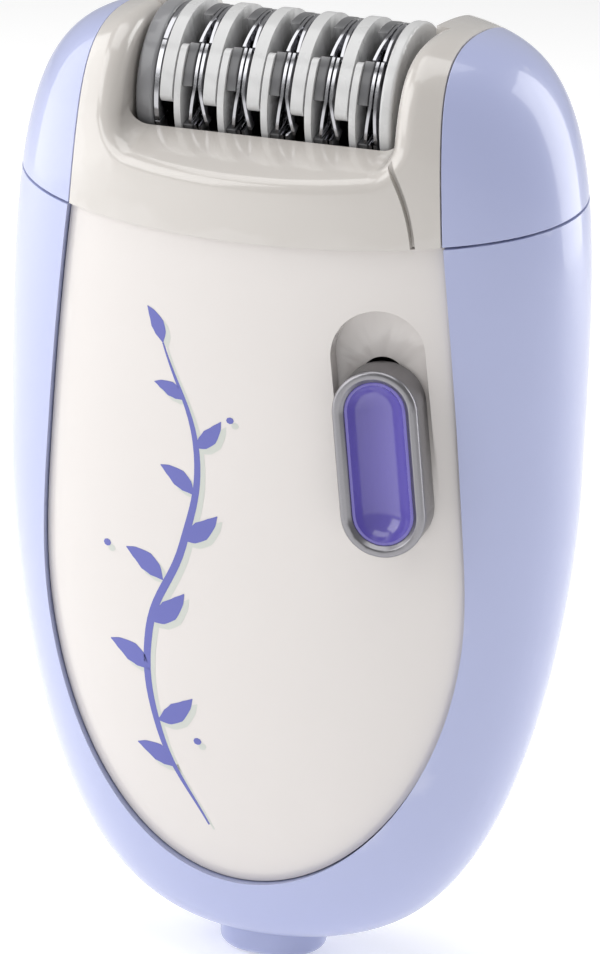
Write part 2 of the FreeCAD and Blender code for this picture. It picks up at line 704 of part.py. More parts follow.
def release_button():
    """Push button in the rear shell; a flange inside keeps it from falling out."""
    flange_y = back_y(0, RELEASE_Z, WALL) - 1.7
    cap = release_block(0.0, flange_y - 0.5, FAR).common(envelope(0.05))
    w = RELEASE_WIDTH / 2.0 + 1.3
    h = RELEASE_HEIGHT / 2.0 + 1.3
    flange = box(-w, w, flange_y - 1.0, flange_y, RELEASE_Z - h, RELEASE_Z + h)
    seat = rod(2.0, (0, 0, RELEASE_Z), (0, 1, 0), flange_y - 0.6)
    return cap.fuse(flange).cut(seat)


def release_guide():
    """Small shelf on the chassis side that the spring pushes against."""
    y1 = back_y(0, RELEASE_Z, WALL) - 1.7 - 1.0 - RELEASE_TRAVEL - 1.0
    plate = box(-8, 8, y1 - 1.2, y1, RELEASE_Z - 4.5, DECK_TOP - DECK_THICK)
    return plate.cut(pin_on(MOTOR_AXIS, -30, 30, MOTOR_R + CLEAR))


def release_spring():
    y1 = back_y(0, RELEASE_Z, WALL) - 1.7 - 0.6 - RELEASE_TRAVEL
    y0 = back_y(0, RELEASE_Z, WALL) - 1.7 - 1.0 - RELEASE_TRAVEL - 1.0
    coil_r = 1.5
    helix = Part.makeHelix(0.75, y1 - y0 - 0.5, coil_r)
    section = Part.Wire(Part.makeCircle(0.22, Vec(coil_r, 0, 0), Vec(0, 1, 0)))
    coil = Part.Wire(helix).makePipeShell([section], True, True)
    coil.rotate(Vec(0, 0, 0), Vec(1, 0, 0), -90)
    coil.translate(Vec(0, y0 + 0.25, RELEASE_Z))
    return coil


# ---------------------------------------------------------------- head
def cap_edge(z, grow=0.0):
    return CAP_EDGE_X - CAP_EDGE_LEAN * (z - PARTING_Z) + grow


def middle_slab(grow=0.0):
    z0, z1 = 70.0, 110.0
    return prism_front([(-cap_edge(z0, grow), z0), (cap_edge(z0, grow), z0),
                        (cap_edge(z1, grow), z1), (-cap_edge(z1, grow), z1)], -FAR, FAR)


def scoop():
    """Opening in front of the drum: a floor that falls to the front, with rounded corners."""
    y0 = -30.0
    run = DRUM_Y - y0
    z0 = BAY_EDGE_Z - FLOOR_SLOPE * (BAY_EDGE_Y - y0)
    r, half, top = FLOOR_CORNER_R, CHEEK_INSIDE, z0 + 40.0
    bend = r * (1.0 - math.sqrt(0.5))

    def at(x, z):
        return Vec(x, y0, z)

    edges = [Part.LineSegment(at(r - half, z0), at(half - r, z0)).toShape(),
             Part.Arc(at(half - r, z0), at(half - bend, z0 + bend), at(half, z0 + r)).toShape(),
             Part.LineSegment(at(half, z0 + r), at(half, top)).toShape(),
             Part.LineSegment(at(half, top), at(-half, top)).toShape(),
             Part.LineSegment(at(-half, top), at(-half, z0 + r)).toShape(),
             Part.Arc(at(-half, z0 + r), at(bend - half, z0 + bend), at(r - half, z0)).toShape()]
    return Part.Face(Part.Wire(edges)).extrude(Vec(0, run, FLOOR_SLOPE * run))


def rear_opening():
    """Lowered surface behind the drum."""
    back = DRUM_Y + DRUM_R + BAY_CLEAR
    return side_prism([(DRUM_Y, REAR_EDGE_Z), (back, REAR_EDGE_Z),
                       (FAR, REAR_EDGE_Z - REAR_SLOPE * (FAR - back)),
                       (FAR, HEIGHT + 30), (DRUM_Y, HEIGHT + 30)], -CHEEK_INSIDE, CHEEK_INSIDE)


def drum_bay():
    r = DRUM_R + BAY_CLEAR
    tube = pin_on(DRUM_AXIS, -CHEEK_INSIDE, CHEEK_INSIDE, r)
    mouth = box(-CHEEK_INSIDE, CHEEK_INSIDE, DRUM_Y - r + 0.4, DRUM_Y + r, DRUM_Z, HEIGHT + 5)
    return tube.fuse(mouth)


def cheek_line(grow):
    """Block whose right side is the curved line between the front and the right cheek."""
    top = GROOVE_TOP_Z + grow
    low = PARTING_Z - 2
    wide, narrow = GROOVE_BASE_X + grow, GROOVE_TOP_X + grow
    belly = (wide + narrow) / 2 + GROOVE_BELLY

    def at(x, z):
        return Vec(x, -FAR, z)

    edges = [Part.LineSegment(at(0, low), at(wide, low)).toShape(),
             Part.Arc(at(wide, low), at(belly, (low + top) / 2), at(narrow, top)).toShape(),
             Part.LineSegment(at(narrow, top), at(0, top)).toShape(),
             Part.LineSegment(at(0, top), at(0, low)).toShape()]
    return Part.Face(Part.Wire(edges)).extrude(Vec(0, FAR - 7.0, 0))


def cheek_groove():
    band = cheek_line(GROOVE).cut(cheek_line(0.0)).cut(envelope(GROOVE_DEPTH))
    return band.common(box(CHEEK_INSIDE - 2.0, FAR, -FAR, 0, 70, HEIGHT))


def lip_edges(shape):
    """Front edge of the floor in front of the drum, with its two corners."""
    found = []
    for edge in shape.Edges:
        b = edge.BoundBox
        level = b.ZMax < BAY_EDGE_Z + 0.6 and b.ZMin > parting_z(-FRONT_DEPTH) + 3
        if level and b.YMax < BAY_EDGE_Y - 3 and b.XLength > 1.2:
            found.append(edge)
    return found


def head_frame():
    outer = OUTER.common(middle_slab()).common(over_parting()).cut(scoop())
    outer = outer.makeFillet(LIP_R, lip_edges(outer))
    room = envelope(1.8)
    gears = room.common(box(CHEEK_INSIDE + CHEEK_WALL, FAR, -FAR, FAR, 70, 120))
    gears = gears.fuse(room.common(box(-FAR, -CHEEK_INSIDE - CHEEK_WALL, -FAR, FAR, 70, 120)))
    under = room.common(box(-CHEEK_INSIDE, CHEEK_INSIDE, -FAR, FAR, 70, HEAD_BOTTOM + 4.2))
    frame = outer.cut(gears).cut(under).cut(drum_bay()).cut(rear_opening()).cut(cheek_groove())
    bores = joined([rod(BUSH_R, (sx * (CHEEK_INSIDE - 1) - (3 if sx < 0 else 0), DRUM_Y, DRUM_Z),
                        (1, 0, 0), 4) for sx in (-1, 1)])
    lug = box(PLATE_X - CLEAR, FAR, UPPER_AXIS[0] - 2.6 - CLEAR, UPPER_AXIS[0] + 2.6 + CLEAR,
              70, UPPER_AXIS[1] + 2.0 + CLEAR)
    frame = frame.cut(lug).cut(bores).cut(base_plate(BASE_MARGIN))
    return max(frame.Solids, key=lambda s: s.Volume)


def side_cap(side):
    wall = OUTER.cut(INNER).common(over_parting())
    keep = box(-FAR, FAR, -FAR, FAR, 70, 120).cut(middle_slab(SEAM))
    half = box(0, FAR, -FAR, FAR, 70, 120) if side > 0 else box(-FAR, 0, -FAR, FAR, 70, 120)
    return wall.common(keep).common(half)


BASE_THICK = 1.5
BASE_MARGIN = 0.9         # the plate clears the handle's rim by this much as the head lifts off
BUSH_R = 2.6
HOOK_X = 14.0
HOOK_Y = 10.5


def base_plate(gap):
    return envelope(WALL + gap).common(box(-FAR, FAR, -FAR, FAR, HEAD_BOTTOM, HEAD_BOTTOM + BASE_THICK))


def base_rib(side):
    """Rib that carries the frame's rear wall on the base plate."""
    near, far = sorted((side * 7.0, side * 10.0))
    block = box(near, far, 9.6, 12.6, HEAD_BOTTOM + BASE_THICK - 0.5, HEIGHT)
    return block.cut(over_parting())


def head_base():
    ledge = panel_prism(PANEL_REST + CLEAR).cut(envelope(REST_DEPTH + CLEAR))
    plate = joined([base_plate(BASE_MARGIN).cut(ledge), base_rib(-1), base_rib(1)])
    tip = MODULE * TEETH_UPPER / 2.0 + MODULE + 0.6
    slot = box(PLATE_X - CLEAR, OUTER_PLATE_X + 1.2 + CLEAR, UPPER_AXIS[0] - tip, UPPER_AXIS[0] + tip,
               70, 90)
    return plate.cut(slot).cut(joined([hook_post(sx, 0.0) for sx in (-1, 1)]))


def hook_post(side, grow):
    x = side * HOOK_X
    return box(x - 2.2 - grow, x + 2.2 + grow, HOOK_Y - 0.8 - grow, HOOK_Y + 0.8 + grow,
               HEAD_BOTTOM - 4.4 - grow, HEAD_BOTTOM + BASE_THICK)


def latch_hooks():
    return Part.makeCompound([hook_post(sx, 0.0) for sx in (-1, 1)])


def bush(side):
    x0 = CHEEK_INSIDE - 0.2
    body = rod(BUSH_R, (x0, DRUM_Y, DRUM_Z), (1, 0, 0), CHEEK_WALL + 0.2)
    bore = rod(SHAFT_R + RUN_FIT, (x0 - 1, DRUM_Y, DRUM_Z), (1, 0, 0), CHEEK_WALL + 3)
    body = body.cut(bore)
    return body if side > 0 else body.mirror(Vec(0, 0, 0), Vec(1, 0, 0))


# ---------------------------------------------------------------- drum
def ring_sector(x0, x1, r_in, r_out, start, end):
    """Sector about the drum axis; angles in degrees from the front, up over the top."""
    edge = Part.LineSegment(Vec(x0, -r_in, 0), Vec(x0, -r_out, 0)).toShape()
    edge.rotate(Vec(0, 0, 0), Vec(1, 0, 0), -start)
    swept = edge.revolve(Vec(0, 0, 0), Vec(-1, 0, 0), end - start)
    body = swept.extrude(Vec(x1 - x0, 0, 0))
    body = body if isinstance(body, Part.Solid) else Part.Solid(body.Shells[0]) if body.Shells else body
    body.translate(Vec(0, DRUM_Y, DRUM_Z))
    return body


def full_ring(x0, x1, r_in, r_out):
    return pin_on(DRUM_AXIS, x0, x1, r_out).cut(pin_on(DRUM_AXIS, x0 - 1, x1 + 1, r_in))


def unit_x(k):
    return FIRST_UNIT_X + UNIT_PITCH * k


def rounded(solid, radius, wanted):
    return solid.makeFillet(radius, [e for e in solid.Edges if wanted(e)])


def runs_along_x(edge, length):
    box_of = edge.BoundBox
    return abs(box_of.XLength - length) < 0.01 and box_of.YLength + box_of.ZLength < 0.01


def upper_arcs():
    arcs = []
    for k in range(UNITS):
        x0 = unit_x(k)
        arc = ring_sector(x0, x0 + UPPER_ARC_WIDTH, HUB_R, DRUM_R, ARC_START, ARC_START + 213.0)
        arcs.append(rounded(arc, 0.9, lambda e: runs_along_x(e, UPPER_ARC_WIDTH)
                            and math.hypot(e.CenterOfMass.y - DRUM_Y, e.CenterOfMass.z - DRUM_Z) > 6))
    return arcs


def lower_arcs():
    arcs = []
    for k in range(UNITS):
        x0 = unit_x(k) + LOWER_ARC_SHIFT
        arc = ring_sector(x0, x0 + LOWER_ARC_WIDTH, HUB_R, DRUM_R, -147.0, TONGUE_TOP)
        arcs.append(rounded(arc, 0.9, lambda e: runs_along_x(e, LOWER_ARC_WIDTH)
                            and math.hypot(e.CenterOfMass.y - DRUM_Y, e.CenterOfMass.z - DRUM_Z) > 6))
    return arcs


def combs():
    """Grey blocks that press the hairs against the blades, one beside each tongue."""
    blocks = []
    for k in range(UNITS):
        x0 = unit_x(k) + LOWER_ARC_SHIFT + LOWER_ARC_WIDTH
        ring = full_ring(x0, x0 + COMB_WIDTH, HUB_R, HUB_R + 0.8)
        lugs = [ring_sector(x0, x0 + COMB_WIDTH, HUB_R + 0.3, COMB_R, 60.0 * g + TONGUE_BEND,
                            60.0 * g + TONGUE_TOP) for g in range(TONGUES)]
        blocks.append(joined([ring] + lugs))
    return blocks


def bent_plate(x_flat, thick, shift, start, end):
    """Tilted plate from the bend line to the tongue's end, cut to the tongue's ring."""
    r_in, r_out = HUB_R + 0.9, BLADE_R
    span = math.radians(start - end)
    reach = r_out * span
    slab_points = [(x_flat, 0.0), (x_flat + thick, 0.0),
                   (x_flat + thick + shift, reach), (x_flat + shift, reach)]
    slab = face_of([(x, -40, -s) for x, s in slab_points]).extrude(Vec(0, 80, 0))
    slab.rotate(Vec(0, 0, 0), Vec(1, 0, 0), -start)
    slab.translate(Vec(0, DRUM_Y, DRUM_Z))
    low = min(x_flat, x_flat + shift) - 0.5
    high = max(x_flat, x_flat + shift) + thick + 0.5
    return slab.common(ring_sector(low, high, r_in, r_out, end, start))


def blade_disc(k, which):
    """Steel disc with bent tongues; which is 0 for the left disc of a pair and 1 for the right."""
    x0 = unit_x(k) + BLADE_SHIFT + which * (BLADE + BLADE_GAP)
    sign = -1.0 if which == 0 else 1.0
    pieces = [full_ring(x0, x0 + BLADE, HUB_R, HUB_R + 1.5)]
    for g in range(TONGUES):
        turn = 60.0 * g
        splay = SPLAY_FRONT if g in (0, 4, 5) else SPLAY_REAR
        splay = splay if k < UNITS - 1 else SPLAY_LAST
        pieces.append(ring_sector(x0, x0 + BLADE, HUB_R + 0.9, BLADE_R, turn + TONGUE_BEND - 0.5,
                                  turn + TONGUE_TOP))
        pieces.append(bent_plate(x0, BLADE, sign * splay[which], turn + TONGUE_BEND, turn + TONGUE_END))
    return joined(pieces)


def drum_hub():
    half = CHEEK_INSIDE - 0.45
    hub = pin_on(DRUM_AXIS, -half, half, HUB_R)
    return hub.cut(pin_on(DRUM_AXIS, -half - 1, half + 1, SHAFT_R))


def drum_shaft():
    return pin_on(DRUM_AXIS, -CHEEK_INSIDE - CHEEK_WALL - 0.6, GEAR_END + 0.8, SHAFT_R)


def drum_gear():
    return gear(TEETH_DRUM, DRUM_AXIS, PHASE_DRUM, GEAR_X, GEAR_FACE, SHAFT_R)


def left_disc():
    x0 = -CHEEK_INSIDE + 0.4
    disc = full_ring(x0, x0 + LEFT_DISC_WIDTH, HUB_R, DRUM_R - 0.15)
    return rounded(disc, 0.35, lambda e: e.BoundBox.ZLength > 2 * DRUM_R - 1)


def left_inner_disc():
    """Flat steel disc with tongues, beside the left end disc."""
    x0 = -CHEEK_INSIDE + 0.4 + LEFT_DISC_WIDTH + 0.1
    x1 = x0 + INNER_DISC_WIDTH
    tongues = [ring_sector(x0, x1, HUB_R + 0.9, BLADE_R, 60.0 * g + TONGUE_END, 60.0 * g + TONGUE_TOP)
               for g in range(TONGUES)]
    return joined([full_ring(x0, x1, HUB_R, HUB_R + 1.5)] + tongues)


def right_disc():
    x0 = unit_x(UNITS - 1) + UNIT_PITCH - 0.05
    disc = full_ring(x0, x0 + 1.3, HUB_R, DRUM_R)
    return rounded(disc, 0.35, lambda e: e.BoundBox.ZLength > 2 * DRUM_R - 1)


def idler(teeth, axis, phase):
    wheel = gear(teeth, axis, phase, GEAR_X, GEAR_FACE, PIN_R + RUN_FIT)
    lightening = []
    ring_r = MODULE * teeth / 4.0 + 0.5
    for n in range(5):
        a = math.radians(72 * n + 20)
        y, z = axis[0] + ring_r * math.cos(a), axis[1] + ring_r * math.sin(a)
        lightening.append(rod(0.8, (GEAR_X - 1, y, z), (1, 0, 0), GEAR_FACE + 2))
    return wheel.cut(joined(lightening))


def lead(points, radius):
    """Round wire of straight runs joined by arcs."""
    pts = [Vec(*p) for p in points]
    edges = []
    last = pts[0]
    for a, b, c in zip(pts, pts[1:], pts[2:]):
        u = (a - b).normalize()
        v = (c - b).normalize()
        half = 0.5 * math.acos(max(-1.0, min(1.0, u.dot(v))))
        reach = 0.45 * min((a - b).Length, (c - b).Length)
        start, end = b + u * reach, b + v * reach
        axis = (u + v).normalize()
        r = reach * math.tan(half)
        centre = b + axis * (reach / math.cos(half))
        mid = centre - axis * r
        edges.append(Part.LineSegment(last, start).toShape())
        edges.append(Part.Arc(start, mid, end).toShape())
        last = end
    edges.append(Part.LineSegment(last, pts[-1]).toShape())
    path = Part.Wire(edges)
    direction = (pts[1] - pts[0]).normalize()
    section = Part.Wire(Part.makeCircle(radius, pts[0], direction))
    return path.makePipeShell([section], True, False)


def inlet_leads():
    z0 = INLET_TOP_Z + 4.8
    wires = []
    for sx in (-1, 1):
        x = sx * INLET_PIN_PITCH / 2
        wires.append(lead([(x, 0, z0), (x, 0.2, z0 + 1.6), (x * 1.6, -1.0, z0 + 3.2),
                           (x * 1.8, BOARD_Y + 0.4, BOARD_LOW)], 0.45))
    return Part.makeCompound(wires)


def motor_leads():
    x0 = MOTOR_RIGHT_X - MOTOR_LENGTH - 2.6
    wires = []
    for sy, x_end in ((-1, -9.0), (1, -6.0)):
        y = MOTOR_AXIS[0] + sy * 4.6
        z = MOTOR_AXIS[1] - 0.65
        wires.append(lead([(x0, y, z), (x0, y - 0.2, z - 4.0), (x0 + 2.5, 0.5, BOARD_HIGH + 3.5),
                           (x_end, BOARD_Y + 0.6, BOARD_HIGH)], 0.45))
    return Part.makeCompound(wires)


# ---------------------------------------------------------------- write the nodes
def save(name, shape):
    solids = shape.Solids
    if not solids:
        raise RuntimeError(name + " has no solid")
    for solid in solids:
        if not solid.isValid():
            raise RuntimeError(name + " is not valid")
    result = solids[0] if len(solids) == 1 else Part.makeCompound(solids)
    result.exportStep("parts/" + name + ".step")
    print("%-20s %d solid(s) %9.2f mm3" % (name, len(solids), result.Volume))


def main():
    os.makedirs("parts", exist_ok=True)
    ring = shell_ring()
    save("front_shell", front_shell(ring))
    save("rear_shell", joined([rear_shell(ring)] + board_bosses()))
    save("front_panel", front_panel())
    save("shell_screws", shell_screws())
    save("socket_collar", socket_collar())
    save("inlet_block", inlet_block())
    save("inlet_pins", inlet_pins())
    save("inlet_leads", inlet_leads())
    save("top_deck", top_deck())
    save("chassis", chassis())
    save("gear_bracket", gear_bracket())
    save("upper_idler_pin", pin_on(UPPER_AXIS, PLATE_X, OUTER_PLATE_X + 1.2, PIN_R))
    save("lower_idler_pin", pin_on(LOWER_AXIS, PLATE_X, OUTER_PLATE_X + 1.2, PIN_R))
    save("motor_can", motor_can())
    save("motor_end_cap", motor_end_cap())
    save("motor_terminals", motor_terminals())
    save("motor_magnets", motor_magnets())
    save("motor_leads", motor_leads())
    save("rotor_shaft", rotor_shaft())
    save("rotor_core", rotor_core())
    save("motor_pinion", motor_pinion())
    save("circuit_board", circuit_board())
    save("board_screws", board_screws())
    save("board_capacitor", board_capacitor())
    save("board_diodes", board_diodes())
    save("switch_unit", switch_unit())
    save("detent_spring", detent_spring())
    save("slider_bezel", slider_bezel())
    save("slider_inlay", slider_inlay())
    save("slider_stem", slider_stem())
    save("release_button", release_button())
    save("release_guide", release_guide())
    save("release_spring", release_spring())
    save("lower_idler", idler(TEETH_LOWER, LOWER_AXIS, PHASE_LOWER))
    save("upper_idler", idler(TEETH_UPPER, UPPER_AXIS, PHASE_UPPER))
    save("head_frame", head_frame())
    save("side_cap_right", side_cap(1))
    save("side_cap_left", side_cap(-1))
    save("head_base", head_base())
    save("latch_hooks", latch_hooks())
    save("bush_right", bush(1))
    save("bush_left", bush(-1))
    save("drum_hub", drum_hub())
    save("drum_shaft", drum_shaft())
    save("drum_gear", drum_gear())
    save("left_disc", left_disc())
    save("left_inner_disc", left_inner_disc())
    save("right_disc", right_disc())
    save("upper_arcs", Part.makeCompound(upper_arcs()))
    save("lower_arcs", Part.makeCompound(lower_arcs()))
    save("hair_combs", Part.makeCompound(combs()))
    save("blades_left", Part.makeCompound([blade_disc(k, 0) for k in range(UNITS)]))
    save("blades_right", Part.makeCompound([blade_disc(k, 1) for k in range(UNITS)]))


main()
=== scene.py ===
import json
import math

import bpy
from mathutils import Matrix, Vector


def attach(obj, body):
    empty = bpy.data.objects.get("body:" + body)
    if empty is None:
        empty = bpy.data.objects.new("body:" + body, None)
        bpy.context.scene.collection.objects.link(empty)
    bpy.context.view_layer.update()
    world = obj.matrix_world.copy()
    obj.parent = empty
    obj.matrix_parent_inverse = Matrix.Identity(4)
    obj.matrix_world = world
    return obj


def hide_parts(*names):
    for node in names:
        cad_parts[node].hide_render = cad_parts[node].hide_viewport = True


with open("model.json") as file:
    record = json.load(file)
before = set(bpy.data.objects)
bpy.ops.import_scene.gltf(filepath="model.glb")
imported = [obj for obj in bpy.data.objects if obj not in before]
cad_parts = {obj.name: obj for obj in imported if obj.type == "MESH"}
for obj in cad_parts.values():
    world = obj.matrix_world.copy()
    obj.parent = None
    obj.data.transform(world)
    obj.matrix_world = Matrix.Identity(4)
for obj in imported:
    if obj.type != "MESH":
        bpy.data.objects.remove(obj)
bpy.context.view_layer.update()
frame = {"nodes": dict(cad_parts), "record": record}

bl_info = {
    "name": "Epilator",
    "version": (1, 0, 0),
    "blender": (4, 5, 0),
    "location": "3D View > Sidebar > Epilator",
    "description": "Covers, print, thumb slide, drum and stage of a hand-held epilator",
    "category": "Object",
}

NODES = frame["nodes"]
RECORD = frame["record"]
BODY_OF = {node: body for body, nodes in RECORD["behaviour"]["bodies"].items() for node in nodes}
MM = 0.001

EDGE_HIGHLIGHT_FROM, EDGE_HIGHLIGHT_TO = 0.52, 0.62          # pointiness where the painted highlight on sharp edges starts and is full
DOUBLES = 1e-7                           # vertices closer than this are one
PRINT_FRONT = -30.0 * MM                 # plane in front of the panel where the vine is drawn
WIDEST_STROKE = 1.1                      # full width of the widest stem in the table below, in millimetres
SHADOW_SHIFT = (0.55, -0.5)              # painted shadow of the vine: a pale copy to the right and down, shift in millimetres
LEAF_BEND = 16.0                         # degrees that a leaf turns from base to tip
LEAF_SWELL = ((0.0, 0.06), (0.25, 0.8), (0.5, 1.0), (0.8, 0.55), (1.0, 0.05))
BERRY_SWELL = ((-1.0, 0.1), (-0.7, 0.75), (0.0, 1.0), (0.7, 0.75), (1.0, 0.1))
FLOOR_SIZE = 8.0
FLOOR_DROP = 0.2 * MM                    # the floor lies this far below the object
FLOOR_GLOW = 0.30
SKY_STRENGTH = 0.38
LIGHT_AIM = (0, 0, 0.05)
LIGHTS = (                               # name, place, width and height, power
    ("key", (-0.45, -0.50, 0.42), (0.45, 0.6), 2.2),
    ("top", (0.0, -0.05, 0.75), (0.7, 0.6), 2.6),
    ("left_wall", (-0.50, -0.05, 0.14), (0.5, 0.6), 1.6),
    ("right_rim", (0.42, 0.34, 0.14), (0.34, 0.7), 2.4),
)


# ---------------------------------------------------------------- settings
class EpilatorColours(bpy.types.PropertyGroup):
    lavender: bpy.props.FloatVectorProperty(
        name="Lavender", description="Shells and side caps", subtype="COLOR",
        size=3, min=0, max=1, default=(0.385, 0.420, 0.640))
    pearl: bpy.props.FloatVectorProperty(
        name="Pearl white", description="Front panel", subtype="COLOR",
        size=3, min=0, max=1, default=(0.660, 0.625, 0.605))
    head_white: bpy.props.FloatVectorProperty(
        name="Head white", description="Head frame", subtype="COLOR",
        size=3, min=0, max=1, default=(0.540, 0.510, 0.480))
    silver: bpy.props.FloatVectorProperty(
        name="Satin silver", description="Ring of the thumb slide", subtype="COLOR",
        size=3, min=0, max=1, default=(0.26, 0.255, 0.27))
    purple: bpy.props.FloatVectorProperty(
        name="Purple", description="Thumb pad", subtype="COLOR",
        size=3, min=0, max=1, default=(0.120, 0.095, 0.400))
    ink: bpy.props.FloatVectorProperty(
        name="Print", description="Vine print", subtype="COLOR",
        size=3, min=0, max=1, default=(0.105, 0.115, 0.400))
    # painted shadow: colour of the pale copy of the vine that stands in for its cast shadow
    ink_shadow: bpy.props.FloatVectorProperty(
        name="Print shadow", description="Pale second print under the vine", subtype="COLOR",
        size=3, min=0, max=1, default=(0.52, 0.54, 0.50))


class EpilatorSizes(bpy.types.PropertyGroup):
    cover_round: bpy.props.FloatProperty(
        name="Cover rounding", description="Edge radius of the covers", unit="LENGTH", default=0.35 * MM)
    small_round: bpy.props.FloatProperty(
        name="Small rounding", description="Edge radius of small pieces", unit="LENGTH", default=0.12 * MM)
    print_width: bpy.props.FloatProperty(
        name="Stem width", description="Widest stroke of the print", unit="LENGTH", default=0.95 * MM)
    print_lift: bpy.props.FloatProperty(
        name="Print height", description="How far the print stands on the panel", unit="LENGTH",
        default=0.03 * MM)


class EpilatorStage(bpy.types.PropertyGroup):
    azimuth: bpy.props.FloatProperty(
        name="Azimuth", description="Camera's place round the object", subtype="ANGLE",
        default=math.radians(20.83))
    distance: bpy.props.FloatProperty(
        name="Distance", description="Camera's distance over the floor", unit="LENGTH", default=0.400)
    height: bpy.props.FloatProperty(
        name="Height", description="Camera's height", unit="LENGTH", default=0.1683)
    aim_height: bpy.props.FloatProperty(
        name="Aim height", description="Height of the point looked at", unit="LENGTH", default=0.05197)
    aim_side: bpy.props.FloatProperty(
        name="Aim side", description="Sideways place of the point looked at", unit="LENGTH", default=0.00093)
    roll: bpy.props.FloatProperty(
        name="Roll", description="Turn about the line of sight", subtype="ANGLE", default=math.radians(2.23))
    lens: bpy.props.FloatProperty(
        name="Lens", description="Focal length in millimetres", default=151.2)


def settings():
    scene = bpy.context.scene
    return scene.epilator_colours, scene.epilator_sizes, scene.epilator_stage


# ---------------------------------------------------------------- shader groups
def group_sockets(group, inputs, outputs):
    for name, kind, default in inputs:
        socket = group.interface.new_socket(name=name, in_out="INPUT", socket_type=kind)
        socket.default_value = default
    for name, kind in outputs:
        group.interface.new_socket(name=name, in_out="OUTPUT", socket_type=kind)


def add(nodes, kind, **values):
    node = nodes.new(kind)
    for key, value in values.items():
        if key == "inputs":
            for name, default in value.items():
                node.inputs[name].default_value = default
        else:
            setattr(node, key, value)
    return node


def skin_group():
    """Moulded skin: faint cloudiness in the colour, fine grain in height and gloss, and a painted highlight
    that mixes sharp edges towards white.
    """
    group = bpy.data.node_groups.get("moulded_skin")
    if group:
        return group
    group = bpy.data.node_groups.new("moulded_skin", "ShaderNodeTree")
    group_sockets(group,
                  [("Color", "NodeSocketColor", (0.8, 0.8, 0.8, 1)),
                   ("Cloud", "NodeSocketFloat", 0.03),
                   ("Roughness", "NodeSocketFloat", 0.3),
                   ("Roughness Range", "NodeSocketFloat", 0.05),
                   ("Grain Scale", "NodeSocketFloat", 2600.0),
                   ("Edge Highlight", "NodeSocketFloat", 0.1)],
                  [("Color", "NodeSocketColor"), ("Roughness", "NodeSocketFloat"),
                   ("Height", "NodeSocketFloat")])
    nodes, links = group.nodes, group.links
    enter, leave = add(nodes, "NodeGroupInput"), add(nodes, "NodeGroupOutput")
    coords = add(nodes, "ShaderNodeTexCoord")
    cloud = add(nodes, "ShaderNodeTexNoise", inputs={"Scale": 55.0, "Detail": 3.0, "Roughness": 0.55})
    grain = add(nodes, "ShaderNodeTexNoise", inputs={"Detail": 2.0, "Roughness": 0.6})
    smudge = add(nodes, "ShaderNodeTexNoise", inputs={"Scale": 140.0, "Detail": 4.0, "Roughness": 0.65})
    links.new(coords.outputs["Object"], cloud.inputs["Vector"])
    links.new(coords.outputs["Object"], grain.inputs["Vector"])
    links.new(coords.outputs["Object"], smudge.inputs["Vector"])
    links.new(enter.outputs["Grain Scale"], grain.inputs["Scale"])
    centred = add(nodes, "ShaderNodeMath", operation="SUBTRACT", inputs={1: 0.5})
    links.new(cloud.outputs["Fac"], centred.inputs[0])
    spread = add(nodes, "ShaderNodeMath", operation="MULTIPLY")
    links.new(centred.outputs[0], spread.inputs[0])
    links.new(enter.outputs["Cloud"], spread.inputs[1])
    lift = add(nodes, "ShaderNodeMath", operation="ADD", inputs={1: 1.0})
    links.new(spread.outputs[0], lift.inputs[0])
    shaded = add(nodes, "ShaderNodeVectorMath", operation="SCALE")
    links.new(enter.outputs["Color"], shaded.inputs[0])
    links.new(lift.outputs[0], shaded.inputs["Scale"])
    # painted highlight: sharp convex edges, found by pointiness, are mixed towards white
    edge = add(nodes, "ShaderNodeNewGeometry")
    sharp = add(nodes, "ShaderNodeMapRange", inputs={"From Min": EDGE_HIGHLIGHT_FROM, "From Max": EDGE_HIGHLIGHT_TO})
    links.new(edge.outputs["Pointiness"], sharp.inputs["Value"])
    edge_highlight_mask = add(nodes, "ShaderNodeMath", operation="MULTIPLY")
    links.new(sharp.outputs["Result"], edge_highlight_mask.inputs[0])
    links.new(enter.outputs["Edge Highlight"], edge_highlight_mask.inputs[1])
    mixed = add(nodes, "ShaderNodeMix", data_type="RGBA")
    mixed.inputs["B"].default_value = (1, 1, 1, 1)
    links.new(edge_highlight_mask.outputs[0], mixed.inputs["Factor"])
    links.new(shaded.outputs["Vector"], mixed.inputs["A"])
    links.new(mixed.outputs["Result"], leave.inputs["Color"])
    off = add(nodes, "ShaderNodeMath", operation="SUBTRACT", inputs={1: 0.5})
    links.new(smudge.outputs["Fac"], off.inputs[0])
    rough = add(nodes, "ShaderNodeMath", operation="MULTIPLY_ADD")
    links.new(off.outputs[0], rough.inputs[0])
    links.new(enter.outputs["Roughness Range"], rough.inputs[1])
    links.new(enter.outputs["Roughness"], rough.inputs[2])
    links.new(rough.outputs[0], leave.inputs["Roughness"])
    links.new(grain.outputs["Fac"], leave.inputs["Height"])
    return group


